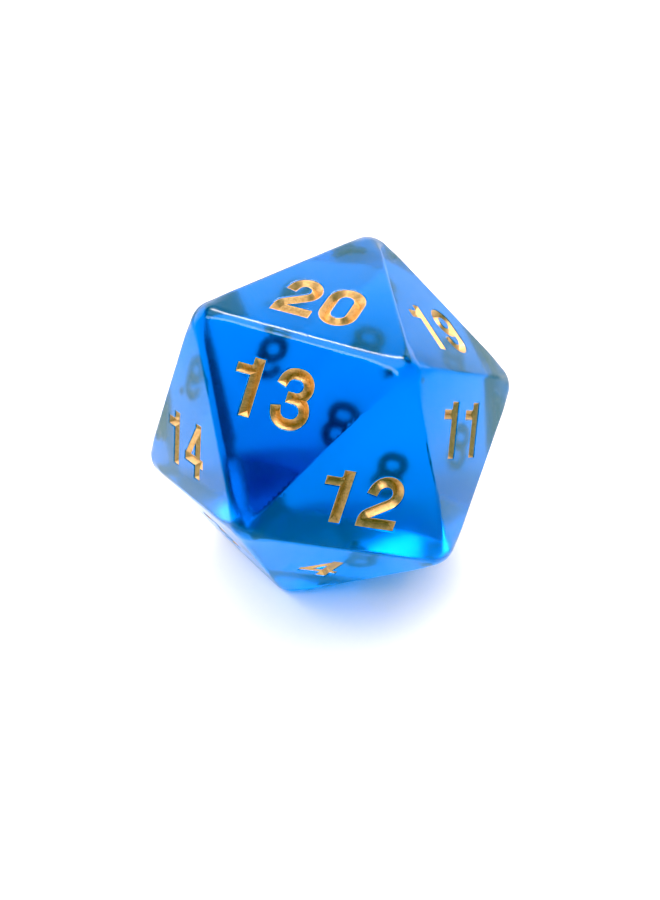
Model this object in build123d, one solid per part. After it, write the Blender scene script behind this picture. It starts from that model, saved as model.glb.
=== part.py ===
"""A jumbo twenty-sided countdown die: a clear blue casting with gold numerals in V grooves.

Units are millimetres. The origin is the centre of the face that the die stands on, which is
the face with the 1. +Z points up through the face with the 20, and -Y is the side from which
the 20 reads upright.
"""
import math
import os

from build123d import *

# Driving dimensions of the casting
across_flats = 55.0         # between any two opposite faces
edge_round = 1.3            # tumbled edges
corner_trim = 1.15          # how far tumbling shortens each pointed corner

# Driving dimensions of the numerals
digit_height = 9.35
digit_pitch = 7.2           # width that one digit takes in its row
heavy = 1.03                # half width of stems, and so the depth of their 45 degree V
medium = 0.96               # half width of bowls
light = 0.86                # half width of crossbars and flags
flag_sweep = 0.7            # half width of the curve from the flag of a 1 into its stem
round_overshoot = 0.1       # round digits stand this much above and below the flat ones
row_shift = 1.25            # rows of two sit this far from the centre, towards the wide side
paint_recess = 0.10         # bare plastic left at the lip of each groove
paint_rise = 0.10           # thickness of the paint film, measured square to the face
lip = 0.2                   # groove cutters carry on this far above the face

# Rows that were cut a little off the centre line of their face: sideways, then up
row_drift = {4: (0.0, -0.9), 9: (0.0, -0.6), 11: (-0.1, 0.0), 12: (-0.5, -0.2),
             13: (-1.3, -0.2), 14: (-1.3, -0.7), 19: (-0.2, 0.1), 20: (0.0, -0.2)}

golden = (1 + math.sqrt(5)) / 2
inradius = across_flats / 2
edge = inradius * 2 * math.sqrt(3) / golden ** 2
circumradius = edge / 2 * math.sqrt(golden * math.sqrt(5))


def triangle_ring(radius, height, first_angle):
    """Three corners at one height, 120 degrees apart."""
    corners = []
    for step in range(3):
        angle = math.radians(first_angle + 120 * step)
        corners.append(Vector(radius * math.cos(angle), radius * math.sin(angle), height))
    return corners


# Corners, measured from the centre of the die. The crown is the corner that all rows of
# digits point to, and the foot is the corner opposite it.
outer_ring = edge / math.sqrt(3)
middle_ring = golden * outer_ring
middle_height = outer_ring / (2 * golden)
crown, left, right = triangle_ring(outer_ring, inradius, 90)
front, right_shoulder, left_shoulder = triangle_ring(middle_ring, middle_height, 270)
foot, right_rear, left_rear = -crown, -left, -right
rear, left_hip, right_hip = -front, -right_shoulder, -left_shoulder

# The corners of the face that carries each number. Opposite faces add up to 21.
numbered_faces = {
    20: (crown, left, right),
    19: (crown, right, right_shoulder),
    18: (crown, right_shoulder, rear),
    17: (crown, rear, left_shoulder),
    16: (crown, left_shoulder, left),
    15: (left_shoulder, left_hip, left),
    14: (left, left_hip, front),
    13: (left, front, right),
    12: (right, front, right_hip),
    11: (right, right_hip, right_shoulder),
}
for number in range(11, 21):
    numbered_faces[21 - number] = tuple(-corner for corner in numbered_faces[number])


# Groove strokes, drawn on the XY plane with the face at Z = 0. Each has a V section with
# 45 degree walls, so that it is as deep as half its width.

def point(position, along=0.0, heading=0.0, aside=0.0, height=0.0):
    """A point beside a position: forward along the heading, and to its left."""
    forward = Vector(math.cos(math.radians(heading)), math.sin(math.radians(heading)))
    sideways = Vector(-forward.Y, forward.X)
    moved = Vector(*position) + forward * along + sideways * aside
    return (moved.X, moved.Y, height)


def straight_groove(start, heading, length, half):
    """A V groove that runs straight from start."""
    corners = []
    for along in (0, length):
        corners.append(point(start, along, heading, half + lip, lip))
        corners.append(point(start, along, heading, -half - lip, lip))
        corners.append(point(start, along, heading, 0, -half))
    return ConvexPolyhedron(corners)


def groove_end(position, heading, half):
    """The sloped end of a V groove, beyond the last point of its ridge."""
    corners = [point(position, 0, heading, 0, -half)]
    for along in (0, half + lip):
        corners.append(point(position, along, heading, half + lip, lip))
        corners.append(point(position, along, heading, -half - lip, lip))
    return ConvexPolyhedron(corners)


def bent_groove(start, heading, radius, turn, half):
    """A V groove that follows a circular arc; a positive turn is to the left."""
    side = math.copysign(1, turn)
    centre = Vector(*point(start, 0, heading, side * radius))
    section = Plane.XZ * make_face(Polyline(
        (radius - half - lip, lip), (radius + half + lip, lip), (radius, -half), close=True))
    first_angle = heading - side * 90
    if turn < 0:
        first_angle += turn
    ring = revolve(section, Axis.Z, abs(turn))
    return Pos(centre) * Rot(0, 0, first_angle) * ring


def stroke(start, heading, half, moves, ends="both"):
    """The pieces of one pen stroke. A move is a length, or (radius, turn in degrees)."""
    pieces = []
    if ends in ("both", "start"):
        pieces.append(groove_end(start, heading + 180, half))
    here = Vector(*start)
    for move in moves:
        if isinstance(move, tuple):
            radius, turn = move
            pieces.append(bent_groove((here.X, here.Y), heading, radius, turn, half))
            side = math.copysign(1, turn)
            centre = Vector(*point((here.X, here.Y), 0, heading, side * radius))
            heading += turn
            here = Vector(*point((centre.X, centre.Y), 0, heading, -side * radius))
        else:
            pieces.append(straight_groove((here.X, here.Y), heading, move, half))
            here = Vector(*point((here.X, here.Y), move, heading))
    if ends in ("both", "end"):
        pieces.append(groove_end((here.X, here.Y), heading, half))
    return pieces


# Digits, each in a box digit_pitch wide with its baseline at Y = 0

top = digit_height + round_overshoot       # highest point of a round digit
bottom = -round_overshoot
bowl = 2.08                                # ridge radius of the large bowls


def zero():
    radius = 2.2
    side = (top - heavy - radius) - (bottom + heavy + radius)
    start = (digit_pitch / 2 + radius, bottom + heavy + radius)
    return stroke(start, 90, heavy, [side, (radius, 180), side, (radius, 180)], ends="none")


def one():
    stem = stroke((4.0, heavy), 90, heavy, [digit_height - 2 * heavy])
    flag = stroke((1.35, 7.2), 0, light, [2.6], ends="start")
    sweep_up = stroke((2.4, 7.2), 0, flag_sweep, [(1.35, 90)], ends="none")
    return stem + flag + sweep_up


def two():
    toe = (1.25, heavy)
    rise = 0.5
    instep, crook = 1.35, 2.05             # ridge radii of the low bend and of the top bowl
    across = 3.6 - (toe[0] + instep)
    upward = (top - heavy - crook) - (toe[1] + rise)
    slope = math.sqrt(across ** 2 + upward ** 2 - (instep + crook) ** 2)
    lean = math.degrees(math.atan2(across, upward) + math.atan2(instep + crook, slope))
    back = [rise, (instep, -lean), slope, (crook, 168 + lean)]
    return stroke(toe, 90, heavy, back) + stroke(toe, 0, heavy, [4.7], ends="end")


def three():
    upper, lower = 1.85, 2.0
    bar_height = bottom + medium + 2 * lower
    start = (1.48, bar_height + upper + 0.54)
    return (stroke(start, 73, medium, [(upper, -73), 0.5, (upper, -180), 0.35])
            + stroke((3.65, bar_height), 0, medium,
                     [0.3, (lower, -180), 0.55, (lower, -77)], ends="end"))


def four():
    return (stroke((5.0, heavy), 90, heavy, [digit_height - 2 * heavy])
            + stroke((1.0, 2.95), 0, light, [5.2])
            + stroke((1.0, 2.95), 54.5, light, [6.6], ends="none"))


def five():
    bar_height = digit_height - light
    return (stroke((1.85, bar_height), 0, light, [3.75])
            + stroke((1.85, bar_height), -97, light, [3.3], ends="end")
            + stroke((2.1, 4.35), 45, medium, [(bowl, -293)]))


def six():
    low = bottom + medium + bowl
    high = top - medium - bowl
    left_ridge = 1.55
    ring = stroke((left_ridge, low), 90, medium, [(bowl, -360)], ends="none")
    return ring + stroke((left_ridge, low), 90, medium, [high - low, (bowl, -163)], ends="end")


def seven():
    return (stroke((1.2, digit_height - light), 0, light, [4.7])
            + stroke((5.8, 8.2), 226, heavy, [(9.0, 36), 2.25], ends="end"))


def eight():
    lower = 2.0
    upper = (top - bottom) / 2 - medium - lower
    waist = 1.0
    waist_height = bottom + medium + 2 * lower
    middle = digit_pitch / 2
    low_loop = [waist, (lower, -180), waist, (lower, -180)]
    high_loop = [(upper, 180), waist, (upper, 180)]
    return (stroke((middle - waist / 2, waist_height), 0, medium, low_loop, ends="none")
            + stroke((middle + waist / 2, waist_height), 0, medium, high_loop, ends="none"))


def nine():
    turned = Pos(digit_pitch, digit_height) * Rot(0, 0, 180)
    return [turned * piece for piece in six()]


digits = [zero, one, two, three, four, five, six, seven, eight, nine]


def full_stop():
    """The dimple after a lone 6 or 9, which tells them apart."""
    return [Pos(digit_pitch + 0.5, medium, -medium) * Cone(
        0, medium + lip, medium + lip, align=(Align.CENTER, Align.CENTER, Align.MIN))]


def row_of_digits(number):
    """The groove cutter of a number, centred on the middle of its row."""
    text = str(number)
    pieces = []
    for place, character in enumerate(text):
        for piece in digits[int(character)]():
            pieces.append(Pos(place * digit_pitch, 0) * piece)
    if number in (6, 9):
        pieces += full_stop()
    cutter = pieces[0]
    for piece in pieces[1:]:
        cutter = cutter + piece
    return Pos(-len(text) * digit_pitch / 2, -digit_height / 2) * cutter


# Places on the faces

def face_plane(number):
    """The plane of a face: its centre, with Y pointing to the crown and Z outwards."""
    corners = numbered_faces[number]
    centre = (corners[0] + corners[1] + corners[2]) / 3
    outward = centre.normalized()
    upright = crown - outward * crown.dot(outward)
    return Plane(centre, x_dir=upright.cross(outward), z_dir=outward)


def row_place(number):
    """Where the row of digits lies on its face."""
    corners = numbered_faces[number]
    plane = face_plane(number)
    heights = [plane.to_local_coords(corner).Y for corner in corners]
    shift = 0.0
    if number > 9:
        points_up = sorted(heights)[1] < 0
        shift = -row_shift if points_up else row_shift
    drift = row_drift.get(number, (0.0, 0.0))
    return plane.location * Pos(drift[0] - 0.2, shift + drift[1])


# The casting, before the numbers are cut

def blank():
    all_corners = []
    for corners in numbered_faces.values():
        for corner in corners:
            if not any((corner - known).length < 0.001 for known in all_corners):
                all_corners.append(corner)
    solid = ConvexPolyhedron([tuple(corner) for corner in all_corners])
    solid = solid & Sphere(circumradius - corner_trim)
    return fillet(solid.edges(), edge_round)


# Build and write the parts

stand = Pos(0, 0, inradius)
slab = Pos(0, 0, -paint_recess) * Box(60, 60, 10, align=(Align.CENTER, Align.CENTER, Align.MAX))

parts = {}
body = blank()
for number in range(1, 21):
    cutter = row_of_digits(number)
    film = (cutter & slab) - Pos(0, 0, paint_rise) * cutter
    place = row_place(number)
    body = body - place * cutter
    parts[f"numeral_{number:02d}"] = stand * place * film
parts["body"] = stand * body

os.makedirs("parts", exist_ok=True)
for name, shape in parts.items():
    shape.label = name
    export_step(shape, f"parts/{name}.step")
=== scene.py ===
"""Looks of a clear blue countdown die with gold numerals, on a pale table in soft studio light."""
import math

import bmesh
import bpy
import numpy as np
from mathutils import Matrix, Vector, geometry


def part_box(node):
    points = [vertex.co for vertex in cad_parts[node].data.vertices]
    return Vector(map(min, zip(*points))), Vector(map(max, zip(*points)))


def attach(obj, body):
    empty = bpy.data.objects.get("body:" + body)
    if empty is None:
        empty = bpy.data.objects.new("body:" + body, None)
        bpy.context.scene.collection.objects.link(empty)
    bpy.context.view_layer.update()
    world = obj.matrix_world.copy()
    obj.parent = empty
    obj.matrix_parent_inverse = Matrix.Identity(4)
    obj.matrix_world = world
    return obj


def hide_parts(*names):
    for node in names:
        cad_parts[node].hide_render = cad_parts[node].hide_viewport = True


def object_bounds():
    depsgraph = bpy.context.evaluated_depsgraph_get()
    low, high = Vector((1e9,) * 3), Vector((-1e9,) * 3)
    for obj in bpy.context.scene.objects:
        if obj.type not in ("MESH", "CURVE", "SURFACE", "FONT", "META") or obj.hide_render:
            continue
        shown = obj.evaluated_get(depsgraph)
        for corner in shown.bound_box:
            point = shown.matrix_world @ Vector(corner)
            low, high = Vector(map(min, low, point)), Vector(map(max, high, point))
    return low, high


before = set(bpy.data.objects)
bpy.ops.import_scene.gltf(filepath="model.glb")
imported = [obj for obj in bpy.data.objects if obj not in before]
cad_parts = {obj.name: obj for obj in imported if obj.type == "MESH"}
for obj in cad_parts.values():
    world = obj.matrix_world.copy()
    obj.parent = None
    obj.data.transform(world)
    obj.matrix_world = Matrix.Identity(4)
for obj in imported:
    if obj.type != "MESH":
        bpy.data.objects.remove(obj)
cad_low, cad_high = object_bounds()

MM = 0.001

# Measures of the casting, in metres
body_low, body_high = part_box("body")
across_flats = body_high.z - body_low.z
inradius = across_flats / 2
centre = (body_low + body_high) / 2
golden = (1 + math.sqrt(5)) / 2
edge = inradius * 2 * math.sqrt(3) / golden ** 2
corner_round = 4.5 * MM
corner_reach = 7.0 * MM         # how far from a corner its larger rounding fades out
corner_full = 1.5 * MM          # how near a corner its larger rounding is reached
even_round = 1.3 * MM           # most edges
polished_round = 2.7 * MM       # edges that were held to the buffing wheel
keen_round = 0.6 * MM           # edges that were hardly touched
flat_turn = math.acos(math.sqrt(5) / 3)     # angle between the normals of two faces at an edge
widest_round = polished_round * math.tan(flat_turn / 2)
longest_side = edge * 1.01      # corners no further apart than this share an edge
same_place = 2e-6               # distance below which a point counts as on a surface

# Measures of the paint and the groove lips
paint_bite = 0.03 * MM          # how far the resin of a groove laps over the back of the paint
lip_steps = ((0.05, -0.035), (0.11, -0.010), (0.20, 0.003), (0.20, 0.400))  # widening, height in mm


# ---------------------------------------------------------------- the icosahedron

def corner_ring(radius, height, first_angle):
    """Three corners at one height, 120 degrees apart."""
    ring = []
    for step in range(3):
        angle = math.radians(first_angle + 120 * step)
        ring.append(Vector((radius * math.cos(angle), radius * math.sin(angle), height)))
    return ring


def icosahedron():
    """Corners of the sharp solid round its own centre, and its faces as corner triples."""
    outer = edge / math.sqrt(3)
    upper = corner_ring(outer, inradius, 90)
    upper += corner_ring(golden * outer, outer / (2 * golden), 270)
    tips = upper + [-tip for tip in upper]
    triples = []
    for a in range(12):
        for b in range(a + 1, 12):
            for c in range(b + 1, 12):
                sides = [(tips[i] - tips[j]).length for i, j in ((a, b), (b, c), (a, c))]
                if max(sides) < longest_side:
                    outward = (tips[b] - tips[a]).cross(tips[c] - tips[a])
                    middle = tips[a] + tips[b] + tips[c]
                    triples.append((a, b, c) if outward.dot(middle) > 0 else (a, c, b))
    return tips, triples


corners, faces = icosahedron()
crown, left, right, front = range(4)        # the corners of the 20, and the one below the 13
tips = np.array(corners)
flats = np.array([(corners[a] + corners[b] + corners[c]).normalized() for a, b, c in faces])
edges = [(i, j) for i in range(12) for j in range(i + 1, 12)
         if (corners[i] - corners[j]).length < longest_side]
edge_rounds = np.array([
    polished_round if pair in ((left, right), (left, front)) else
    keen_round if pair in ((right, front), (crown, right)) else even_round
    for pair in edges])


# ---------------------------------------------------------------- the rounded surface

def rounded_radius(directions, rounding):
    """Distance from the centre to an evenly rounded solid's surface, along unit directions."""
    core = tips * (inradius - rounding) / inradius
    along = directions @ flats.T
    reach = inradius / along.max(axis=1)
    on_core = directions * reach[:, None] - flats[along.argmax(axis=1)] * rounding
    inside = (on_core @ flats.T).max(axis=1) < (inradius - rounding) * (1 + 1e-6)
    best = np.where(inside, reach, 0.0)
    for tip in core:
        along = directions @ tip
        under = along ** 2 - tip @ tip + rounding ** 2
        hit = along + np.sqrt(np.maximum(under, 0))
        best = np.where((under > 0) & (hit > best), hit, best)
    for i, j in edges:
        axis = core[j] - core[i]
        length = np.linalg.norm(axis)
        axis = axis / length
        flat = directions - np.outer(directions @ axis, axis)
        offset = core[i] - (core[i] @ axis) * axis
        a = (flat ** 2).sum(axis=1)
        b = flat @ offset
        under = b ** 2 - a * (offset @ offset - rounding ** 2)
        hit = (b + np.sqrt(np.maximum(under, 0))) / np.maximum(a, 1e-12)
        place = hit * (directions @ axis) - core[i] @ axis
        good = (under > 0) & (place > 0) & (place < length) & (hit > best)
        best = np.where(good, hit, best)
    return best


def blank_radius(directions):
    """Distance from the centre to the blank's surface: each edge has its own rounding."""
    sharp = directions * (inradius / (directions @ flats.T).max(axis=1))[:, None]
    gaps = []
    for i, j in edges:
        axis = (tips[j] - tips[i]) / edge
        away = sharp - tips[i]
        gaps.append(np.linalg.norm(away - np.outer(away @ axis, axis), axis=1))
    rounding = edge_rounds[np.argmin(gaps, axis=0)]
    tight = np.zeros(len(directions))
    for size in set(edge_rounds):
        here = rounding == size
        tight[here] = rounded_radius(directions[here], size)
    loose = rounded_radius(directions, corner_round)
    near = np.linalg.norm(sharp[:, None, :] - tips[None, :, :], axis=2).min(axis=1)
    share = np.clip((corner_reach - near) / (corner_reach - corner_full), 0, 1)
    share = share * share * (3 - 2 * share)
    return tight + (loose - tight) * share


def surface_normals(points):
    """Outward normals of the blank at points on its surface."""
    directions = points / np.linalg.norm(points, axis=1)[:, None]
    nudge = 1e-4
    helper = np.where(np.abs(directions[:, :1]) < 0.8, [[1.0, 0, 0]], [[0, 1.0, 0]])
    first = np.cross(directions, helper)
    first /= np.linalg.norm(first, axis=1)[:, None]
    second = np.cross(directions, first)
    slopes = []
    for tangent in (first, second):
        ends = []
        for step in (nudge, -nudge):
            moved = directions + tangent * step
            moved /= np.linalg.norm(moved, axis=1)[:, None]
            ends.append(moved * blank_radius(moved)[:, None])
        slopes.append(ends[0] - ends[1])
    normals = np.cross(slopes[0], slopes[1])
    normals *= np.sign((normals * directions).sum(axis=1))[:, None]
    return normals / np.linalg.norm(normals, axis=1)[:, None]


def face_grid():
    """Points on one sharp face, in its plane: dense by the edges and corners, open between."""
    outer = edge / math.sqrt(3)
    ends = [Vector((outer * math.cos(turn), outer * math.sin(turn)))
            for turn in (math.pi / 2, math.pi * 7 / 6, math.pi * 11 / 6)]
    points = [Vector((0.0, 0.0))]
    rows = [widest_round * (k / 9) ** 1.3 for k in range(10)] + [widest_round * 1.25]
    clear_of_rows = widest_round * 1.45
    steps = 44                      # along each edge
    pitch = 0.33 * MM               # between the rings round each corner
    for k in range(3):
        start, end, third = ends[k], ends[(k + 1) % 3], ends[(k + 2) % 3]
        inward = (third - (start + end) / 2).normalized()
        along = (end - start).normalized()
        for row in rows:
            first = start + inward * row + along * row * math.sqrt(3)
            last = end + inward * row - along * row * math.sqrt(3)
            for step in range(steps + 1):
                points.append(first.lerp(last, 0.5 - 0.5 * math.cos(math.pi * step / steps)))
        inside = -start.normalized()
        for ring in range(1, int(corner_reach / pitch)):
            for step in range(ring + 1):
                turn = math.radians(-30 + 60 * step / ring)
                spoke = Matrix.Rotation(turn, 2) @ inside
                gap = ring * pitch * math.sin(math.radians(30) - abs(turn))
                if gap > clear_of_rows:
                    points.append(start + spoke * ring * pitch)
    unique = {(round(p.x * 1e7), round(p.y * 1e7)): p for p in points}
    flat, _, triangles, _, _, _ = geometry.delaunay_2d_cdt(list(unique.values()), [], [], 0, 1e-9)
    sliver = 2e-10                  # square metres
    solid = [t for t in triangles if geometry.area_tri(*[flat[i].to_3d() for i in t]) > sliver]
    return flat, solid


def casting_mesh():
    """The rounded blank, without numbers."""
    flat, triangles = face_grid()
    vertices, polygons = [], []
    for a, b, c in faces:
        middle = (corners[a] + corners[b] + corners[c]) / 3
        up = (corners[a] - middle).normalized()
        across = up.cross(middle.normalized())
        offset = len(vertices)
        vertices += [middle + across * p.x + up * p.y for p in flat]
        polygons += [[offset + i for i in t] for t in triangles]
    sharp = np.array(vertices)
    directions = sharp / np.linalg.norm(sharp, axis=1)[:, None]
    surface = directions * blank_radius(directions)[:, None] + np.array(centre)
    mesh = bpy.data.meshes.new("clear_casting")
    mesh.from_pydata(surface.tolist(), [], polygons)
    welded = bmesh.new()
    welded.from_mesh(mesh)
    bmesh.ops.remove_doubles(welded, verts=welded.verts, dist=1e-7)
    bmesh.ops.recalc_face_normals(welded, faces=welded.faces)
    welded.to_mesh(mesh)
    welded.free()
    return mesh


# ---------------------------------------------------------------- the grooves

def face_of(node):
    """The outward normal of the face that carries a number."""
    low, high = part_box(node)
    outward = ((low + high) / 2 - centre).normalized()
    return Vector(flats[(flats @ np.array(outward)).argmax()])


def rim_moves(cutter, normal):
    """How each vertex on the open rim moves sideways for one unit of widening."""
    least_spread = 0.6              # keeps the move short where the rim turns back sharply
    aside = {}
    for e in cutter.edges:
        if len(e.link_faces) == 1:
            wall = e.link_faces[0].normal
            away = (wall - normal * wall.dot(normal)).normalized()
            for vertex in e.verts:
                aside.setdefault(vertex, []).append(away)
    return {vertex: sum(pair, Vector()) / max(1 + pair[0].dot(pair[-1]), least_spread)
            for vertex, pair in aside.items()}


def groove_cutter(node):
    """The groove behind one number, from the back of its paint film, with a rounded lip."""
    normal = face_of(node)
    faces_back = -0.1               # cosine below which a face of the film is on its back
    cutter = bmesh.new()
    cutter.from_mesh(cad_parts[node].data)
    bmesh.ops.remove_doubles(cutter, verts=cutter.verts, dist=1e-6)
    cutter.normal_update()
    film_front = [face for face in cutter.faces if face.normal.dot(normal) > faces_back]
    lid = [[vertex.co.to_tuple() for vertex in face.verts] for face in film_front]
    bmesh.ops.delete(cutter, geom=film_front, context="FACES")
    moves = rim_moves(cutter, normal)
    rim = [e for e in cutter.edges if len(e.link_faces) == 1]
    places = {vertex: vertex.co.copy() for vertex in moves}
    for vertex in cutter.verts:
        vertex.co += normal * paint_bite

    def lifted(place, height):
        return place + normal * (height * MM + inradius - (place - centre).dot(normal))

    source = {vertex: vertex for vertex in moves}
    for sideways, height in lip_steps:
        grown = bmesh.ops.extrude_edge_only(cutter, edges=rim)["geom"]
        risen = {}
        for vertex in grown:
            if isinstance(vertex, bmesh.types.BMVert):
                below = next(e.other_vert(vertex) for e in vertex.link_edges
                             if e.other_vert(vertex) in source)
                start = source[below]
                risen[vertex] = start
                vertex.co = lifted(places[start] + moves[start] * sideways * MM, height)
        rim = [e for e in grown if isinstance(e, bmesh.types.BMEdge)
               and e.verts[0] in risen and e.verts[1] in risen]
        source = risen
    top = {places[start].to_tuple(): vertex for vertex, start in source.items()}
    for outline in lid:
        for place in outline:
            if place not in top:
                top[place] = cutter.verts.new(lifted(Vector(place), lip_steps[-1][1]))
        cutter.faces.new([top[place] for place in outline])
    bmesh.ops.recalc_face_normals(cutter, faces=cutter.faces)
    mesh = bpy.data.meshes.new("cutter")
    cutter.to_mesh(mesh)
    cutter.free()
    return mesh


def add_object(name, data):
    piece = bpy.data.objects.new(name, data)
    bpy.context.scene.collection.objects.link(piece)
    return piece


def clear_body(numerals):
    """The casting with every number cut into it."""
    blank = add_object("clear_casting", casting_mesh())
    all_grooves = bmesh.new()
    for node in numerals:
        all_grooves.from_mesh(groove_cutter(node))
    groove_mesh = bpy.data.meshes.new("grooves")
    all_grooves.to_mesh(groove_mesh)
    all_grooves.free()
    grooves = add_object("grooves", groove_mesh)
    cut = blank.modifiers.new("cut", "BOOLEAN")
    cut.operation = "DIFFERENCE"
    cut.solver = "MANIFOLD"
    cut.object = grooves
    graph = bpy.context.evaluated_depsgraph_get()
    uncut = len(blank.data.polygons)
    blank.data = bpy.data.meshes.new_from_object(blank.evaluated_get(graph))
    if len(blank.data.polygons) == uncut:
        raise RuntimeError("the numbers were not cut into the casting")
    blank.modifiers.clear()
    bpy.data.objects.remove(grooves)
    set_normals(blank.data)
    return blank


def set_normals(mesh):
    """Exact normals: flat faces stay optically flat, rounded edges and lips shade smoothly."""
    points = np.array([v.co[:] for v in mesh.vertices]) - np.array(centre)
    reach = np.linalg.norm(points, axis=1)
    on_blank = np.abs(blank_radius(points / reach[:, None]) - reach) < same_place
    exact = surface_normals(points)
    kinds = []
    for polygon in mesh.polygons:
        polygon.use_smooth = True
        normal = np.array(polygon.normal)
        nearest = (flats @ normal).argmax()
        level = flats[nearest] @ (np.array(polygon.center) - np.array(centre))
        if flats[nearest] @ normal > 0.99999 and abs(level - inradius) < same_place:
            kinds.append(nearest)
        elif on_blank[list(polygon.vertices)].all():
            kinds.append("rounded")
        else:
            kinds.append("groove")
    creased = bmesh.new()
    creased.from_mesh(mesh)
    for e in creased.edges:
        sides = {kinds[face.index] == "groove" for face in e.link_faces}
        e.smooth = len(sides) == 1 and e.calc_face_angle(0) < math.radians(24)
    creased.to_mesh(mesh)
    creased.free()
    normals = [corner.vector.copy() for corner in mesh.corner_normals]
    for polygon, kind in zip(mesh.polygons, kinds):
        if kind == "groove":
            continue
        for loop in polygon.loop_indices:
            if kind == "rounded":
                normals[loop] = exact[mesh.loops[loop].vertex_index]
            else:
                normals[loop] = flats[kind]
    mesh.normals_split_custom_set(normals)


# ---------------------------------------------------------------- materials

def new_material(name):
    material = bpy.data.materials.new(name)
    material.use_nodes = True
    nodes = material.node_tree.nodes
    return material, nodes, material.node_tree.links, nodes["Principled BSDF"]


def noise(nodes, links, where, size, detail):
    """A noise pattern with features about this size, in metres."""
    pattern = nodes.new("ShaderNodeTexNoise")
    pattern.inputs["Scale"].default_value = 1 / size
    pattern.inputs["Detail"].default_value = detail
    links.new(where, pattern.inputs["Vector"])
    return pattern.outputs["Fac"]


def remap(nodes, links, value, low, high, to_low, to_high, curve="LINEAR"):
    """A value stretched from one range to another, and held inside it."""
    stretch = nodes.new("ShaderNodeMapRange")
    stretch.interpolation_type = curve
    stretch.inputs["From Min"].default_value = low
    stretch.inputs["From Max"].default_value = high
    stretch.inputs["To Min"].default_value = to_low
    stretch.inputs["To Max"].default_value = to_high
    links.new(value, stretch.inputs["Value"])
    return stretch.outputs["Result"]


def calculate(nodes, links, operation, first, second):
    step = nodes.new("ShaderNodeMath")
    step.operation = operation
    for socket, value in zip(step.inputs, (first, second)):
        if isinstance(value, (int, float)):
            socket.default_value = value
        else:
            links.new(value, socket)
    return step.outputs["Value"]


def bump(nodes, links, height, distance):
    relief = nodes.new("ShaderNodeBump")
    relief.inputs["Distance"].default_value = distance
    relief.inputs["Strength"].default_value = 1.0
    links.new(height, relief.inputs["Height"])
    return relief.outputs["Normal"]


def scratches(nodes, links, where, turn, length, width):
    """Fine straight scratches at one heading: 1 in a scratch and 0 elsewhere."""
    mapping = nodes.new("ShaderNodeMapping")
    mapping.inputs["Rotation"].default_value = turn
    mapping.inputs["Scale"].default_value = (1 / length, 1 / width, 1 / length)
    links.new(where, mapping.inputs["Vector"])
    pattern = nodes.new("ShaderNodeTexNoise")
    pattern.inputs["Scale"].default_value = 1.0
    pattern.inputs["Detail"].default_value = 1.0
    links.new(mapping.outputs["Vector"], pattern.inputs["Vector"])
    return remap(nodes, links, pattern.outputs["Fac"], 0.70, 0.78, 0.0, 1.0)


def clear_blue():
    """Deep blue resin that lets blue through and soon swallows red, with handling marks."""
    material, nodes, links, shader = new_material("clear_blue_resin")
    shader.inputs["Base Color"].default_value = (0.02, 0.15, 0.59, 1)
    shader.inputs["Transmission Weight"].default_value = 1.0
    shader.inputs["IOR"].default_value = 1.5
    where = nodes.new("ShaderNodeTexCoord").outputs["Object"]
    smudges = noise(nodes, links, where, 9 * MM, 4.0)
    links.new(remap(nodes, links, smudges, 0.35, 0.7, 0.14, 0.20), shader.inputs["Roughness"])
    marks = calculate(
        nodes, links, "MAXIMUM",
        scratches(nodes, links, where, (0.3, 0.5, 0.4), 2.5 * MM, 0.05 * MM),
        scratches(nodes, links, where, (1.1, -0.4, 1.9), 1.6 * MM, 0.04 * MM))
    orange_peel = noise(nodes, links, where, 4 * MM, 1.0)
    relief = calculate(nodes, links, "SUBTRACT", orange_peel,
                       calculate(nodes, links, "MULTIPLY", marks, 0.15))
    links.new(bump(nodes, links, relief, 0.01 * MM), shader.inputs["Normal"])
    absorb = nodes.new("ShaderNodeVolumeAbsorption")
    absorb.inputs["Color"].default_value = (0.0, 0.86, 0.952, 1)
    absorb.inputs["Density"].default_value = 36
    links.new(absorb.outputs["Volume"], nodes["Material Output"].inputs["Volume"])
    return material


def shaded_underside(nodes, links, colour):
    """The paint's colour, with painted shade: dark grey where its underside faces into the resin.
    """
    faces_in = -0.002               # height above the centre, along its normal, that faces in fully
    surface = nodes.new("ShaderNodeNewGeometry")
    outward = nodes.new("ShaderNodeVectorMath")
    outward.operation = "SUBTRACT"
    links.new(surface.outputs["Position"], outward.inputs[0])
    outward.inputs[1].default_value = centre
    facing = nodes.new("ShaderNodeVectorMath")
    facing.operation = "DOT_PRODUCT"
    links.new(surface.outputs["Normal"], facing.inputs[0])
    links.new(outward.outputs["Vector"], facing.inputs[1])
    under = remap(nodes, links, facing.outputs["Value"], 0.0, faces_in, 0.0, 1.0)
    sides = nodes.new("ShaderNodeMix")
    sides.data_type = "RGBA"
    links.new(under, sides.inputs["Factor"])
    links.new(colour, sides.inputs["A"])
    # painted shade: the side of the film that faces into the resin is coloured dark grey, as if
    # unlit
    sides.inputs["B"].default_value = (0.12, 0.12, 0.16, 1)
    return sides.outputs["Result"]


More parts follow.
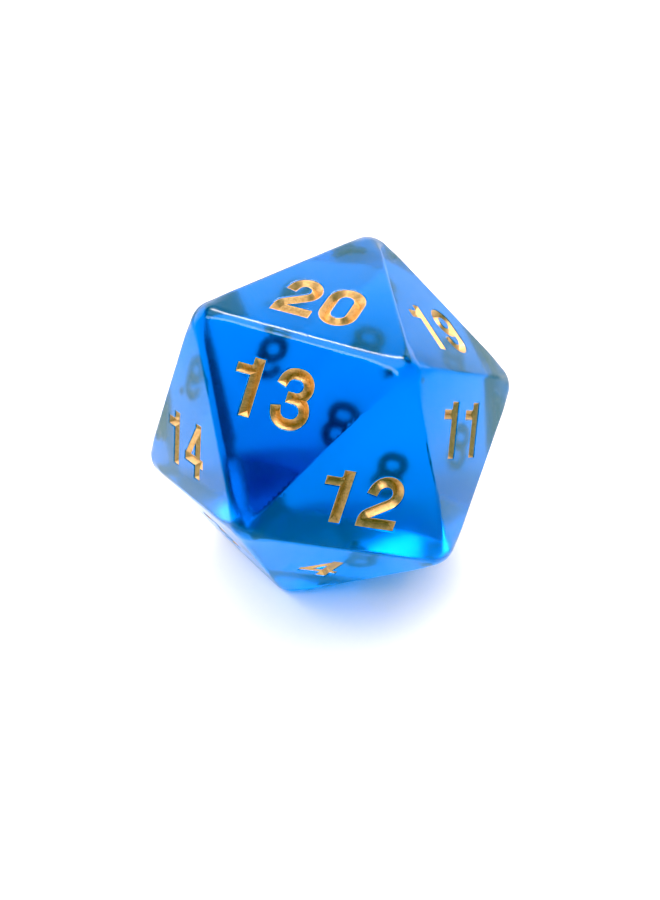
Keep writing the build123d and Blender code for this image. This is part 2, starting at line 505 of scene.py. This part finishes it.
def gold_paint():
    """Brushed-on metallic paint: fine flake, thin and thick patches, a little grainy."""
    material, nodes, links, shader = new_material("gold_paint")
    where = nodes.new("ShaderNodeTexCoord").outputs["Object"]
    flake = nodes.new("ShaderNodeTexVoronoi")
    flake.inputs["Scale"].default_value = 1 / (0.16 * MM)
    links.new(where, flake.inputs["Vector"])
    sparkle = nodes.new("ShaderNodeSeparateColor")
    links.new(flake.outputs["Color"], sparkle.inputs["Color"])
    patches = noise(nodes, links, where, 0.9 * MM, 3.0)
    tone = calculate(nodes, links, "ADD",
                     calculate(nodes, links, "MULTIPLY", sparkle.outputs["Red"], 0.55),
                     calculate(nodes, links, "MULTIPLY", patches, 0.9))
    ramp = nodes.new("ShaderNodeValToRGB")
    ramp.color_ramp.elements[0].position = 0.25
    ramp.color_ramp.elements[0].color = (0.40, 0.20, 0.075, 1)
    ramp.color_ramp.elements[1].position = 1.0
    ramp.color_ramp.elements[1].color = (0.62, 0.40, 0.165, 1)
    middle = ramp.color_ramp.elements.new(0.65)
    middle.color = (0.51, 0.295, 0.115, 1)
    links.new(tone, ramp.inputs["Fac"])
    links.new(shaded_underside(nodes, links, ramp.outputs["Color"]), shader.inputs["Base Color"])
    shader.inputs["Metallic"].default_value = 1.0
    links.new(remap(nodes, links, sparkle.outputs["Green"], 0, 1, 0.3, 0.5),
              shader.inputs["Roughness"])
    grain = noise(nodes, links, where, 0.22 * MM, 2.0)
    links.new(bump(nodes, links, grain, 0.025 * MM), shader.inputs["Normal"])
    return material


def table_white():
    """White paper, with painted shade that greys it away from the die as if the light fell off
    there.
    """
    near, far = 0.06, 0.25          # metres from the middle of the die's foot
    near_white, far_white = 0.91, 0.5
    material, nodes, links, shader = new_material("table_white")
    shader.inputs["Roughness"].default_value = 0.8
    shader.inputs["Specular IOR Level"].default_value = 0.2
    where = nodes.new("ShaderNodeTexCoord").outputs["Object"]
    away = nodes.new("ShaderNodeVectorMath")
    away.operation = "LENGTH"
    links.new(where, away.inputs[0])
    # painted shade: the paper's colour darkens with distance from the die's foot
    painted_falloff = remap(nodes, links, away.outputs["Value"], near, far,
                  near_white, far_white, "SMOOTHSTEP")
    fibre = remap(nodes, links, noise(nodes, links, where, 0.8 * MM, 3.0), 0.0, 1.0, 0.98, 1.0)
    links.new(calculate(nodes, links, "MULTIPLY", painted_falloff, fibre), shader.inputs["Base Color"])
    return material


# ---------------------------------------------------------------- assembly

numerals = sorted(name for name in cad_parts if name.startswith("numeral_"))
casting = clear_body(numerals)
casting.data.materials.clear()
casting.data.materials.append(clear_blue())
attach(casting, "root")
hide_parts("body")

paint = gold_paint()
for node in numerals:
    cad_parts[node].data.materials.clear()
    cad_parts[node].data.materials.append(paint)


# ---------------------------------------------------------------- table, light and camera

def direction(azimuth, elevation):
    """Unit vector towards a place round the die; azimuth 0 is at -Y and turns towards +X."""
    turn, lift = math.radians(azimuth), math.radians(elevation)
    level = math.cos(lift)
    return Vector((math.sin(turn) * level, -math.cos(turn) * level, math.sin(lift)))


def add_floor():
    """A table top, a hair below the die so that the two do not share a surface."""
    half = 2.0
    hair = 0.02 * MM
    mesh = bpy.data.meshes.new("table")
    mesh.from_pydata([(-half, -half, 0), (half, -half, 0), (half, half, 0), (-half, half, 0)],
                     [], [(0, 1, 2, 3)])
    mesh.materials.append(table_white())
    floor = add_object("table", mesh)
    floor.location.z = cad_low.z - hair


def add_softbox(name, azimuth, elevation, width, depth, brightness):
    """A soft lamp aimed at the die. Its brightness is in the units of the room's walls."""
    distance = 0.9
    lamp = bpy.data.lights.new(name, "AREA")
    lamp.shape = "RECTANGLE"
    lamp.size, lamp.size_y = width, depth
    lamp.energy = brightness * math.pi * width * depth
    softbox = add_object(name, lamp)
    toward = direction(azimuth, elevation)
    softbox.location = centre + toward * distance
    softbox.rotation_mode = "QUATERNION"
    softbox.rotation_quaternion = toward.to_track_quat("Z", "Y")


def closeness(nodes, links, toward, azimuth, elevation):
    """Cosine of the angle between a direction and a fixed one."""
    product = nodes.new("ShaderNodeVectorMath")
    product.operation = "DOT_PRODUCT"
    product.inputs[1].default_value = direction(azimuth, elevation)
    links.new(toward, product.inputs[0])
    return product.outputs["Value"]


def add_room(overhead, wall, skirt, dark):
    """A soft light overhead and a white wall behind the die; pale all round, and dim above.

    Each part of the room fades between two cosines, or between two heights on the unit sphere.
    """
    overhead_fade = (0.78, 0.93)
    wall_fade = (0.1, 0.5)
    wall_top = (0.56, 0.66)
    skirt_top = (0.25, 0.42)
    room = bpy.data.worlds.new("studio")
    room.use_nodes = True
    nodes, links = room.node_tree.nodes, room.node_tree.links
    toward = nodes.new("ShaderNodeTexCoord").outputs["Generated"]
    lamp = remap(nodes, links, closeness(nodes, links, toward, 205, 75), *overhead_fade,
                 dark, overhead, "SMOOTHSTEP")
    behind = remap(nodes, links, closeness(nodes, links, toward, 210, 0), *wall_fade,
                   0.0, wall, "SMOOTHSTEP")
    height = closeness(nodes, links, toward, 0, 90)
    below_top = remap(nodes, links, height, *wall_top, 1.0, 0.0, "SMOOTHSTEP")
    skirting = remap(nodes, links, height, *skirt_top, skirt, 0.0, "SMOOTHSTEP")
    walls = calculate(nodes, links, "MAXIMUM", skirting,
                      calculate(nodes, links, "MULTIPLY", behind, below_top))
    strength = calculate(nodes, links, "ADD", lamp, walls)
    background = nodes["Background"]
    background.inputs["Color"].default_value = (1, 1, 1, 1)
    links.new(strength, background.inputs["Strength"])
    bpy.context.scene.world = room


def set_view():
    """Contrast of the picture: bright paper turns white, and faint red is lost in the blue."""
    black, white = 0.015, 0.8
    view = bpy.context.scene.view_settings
    view.view_transform = "Standard"
    view.use_curve_mapping = True
    view.curve_mapping.black_level = (black, black, black)
    view.curve_mapping.white_level = (white, white, white)
    red = view.curve_mapping.curves[0]
    for place, height in ((0.1, 0.012), (0.22, 0.11), (0.5, 0.44)):
        red.points.new(place, height)
    view.curve_mapping.update()


def add_camera():
    """The camera stands close, and looks a little below and to the right of the die."""
    azimuth, elevation, roll = 24.19, 44.56, -0.6055
    distance = 2.703 * across_flats
    aim = centre + Vector((0.0346, -0.0629, -0.0660)) * across_flats
    focal_length = 0.9029           # in frame heights
    frame_height = 36               # millimetres, the long side of the picture
    camera = add_object("camera", bpy.data.cameras.new("camera"))
    camera.location = centre + direction(azimuth, elevation) * distance
    camera.rotation_mode = "QUATERNION"
    look = (aim - camera.location).to_track_quat("-Z", "Y")
    tilt = Matrix.Rotation(math.radians(roll), 3, "Z").to_quaternion()
    camera.rotation_quaternion = look @ tilt
    camera.data.sensor_width = frame_height
    camera.data.lens = frame_height * focal_length
    camera.data.clip_start = 5 * MM
    bpy.context.scene.camera = camera


add_floor()
add_room(overhead=3.0, wall=2.1, skirt=0.45, dark=0.25)
add_softbox("back_softbox", azimuth=203, elevation=57, width=0.7, depth=0.12, brightness=15.0)
add_softbox("front_softbox", azimuth=345, elevation=65, width=1.0, depth=0.2, brightness=6.0)
set_view()
add_camera()
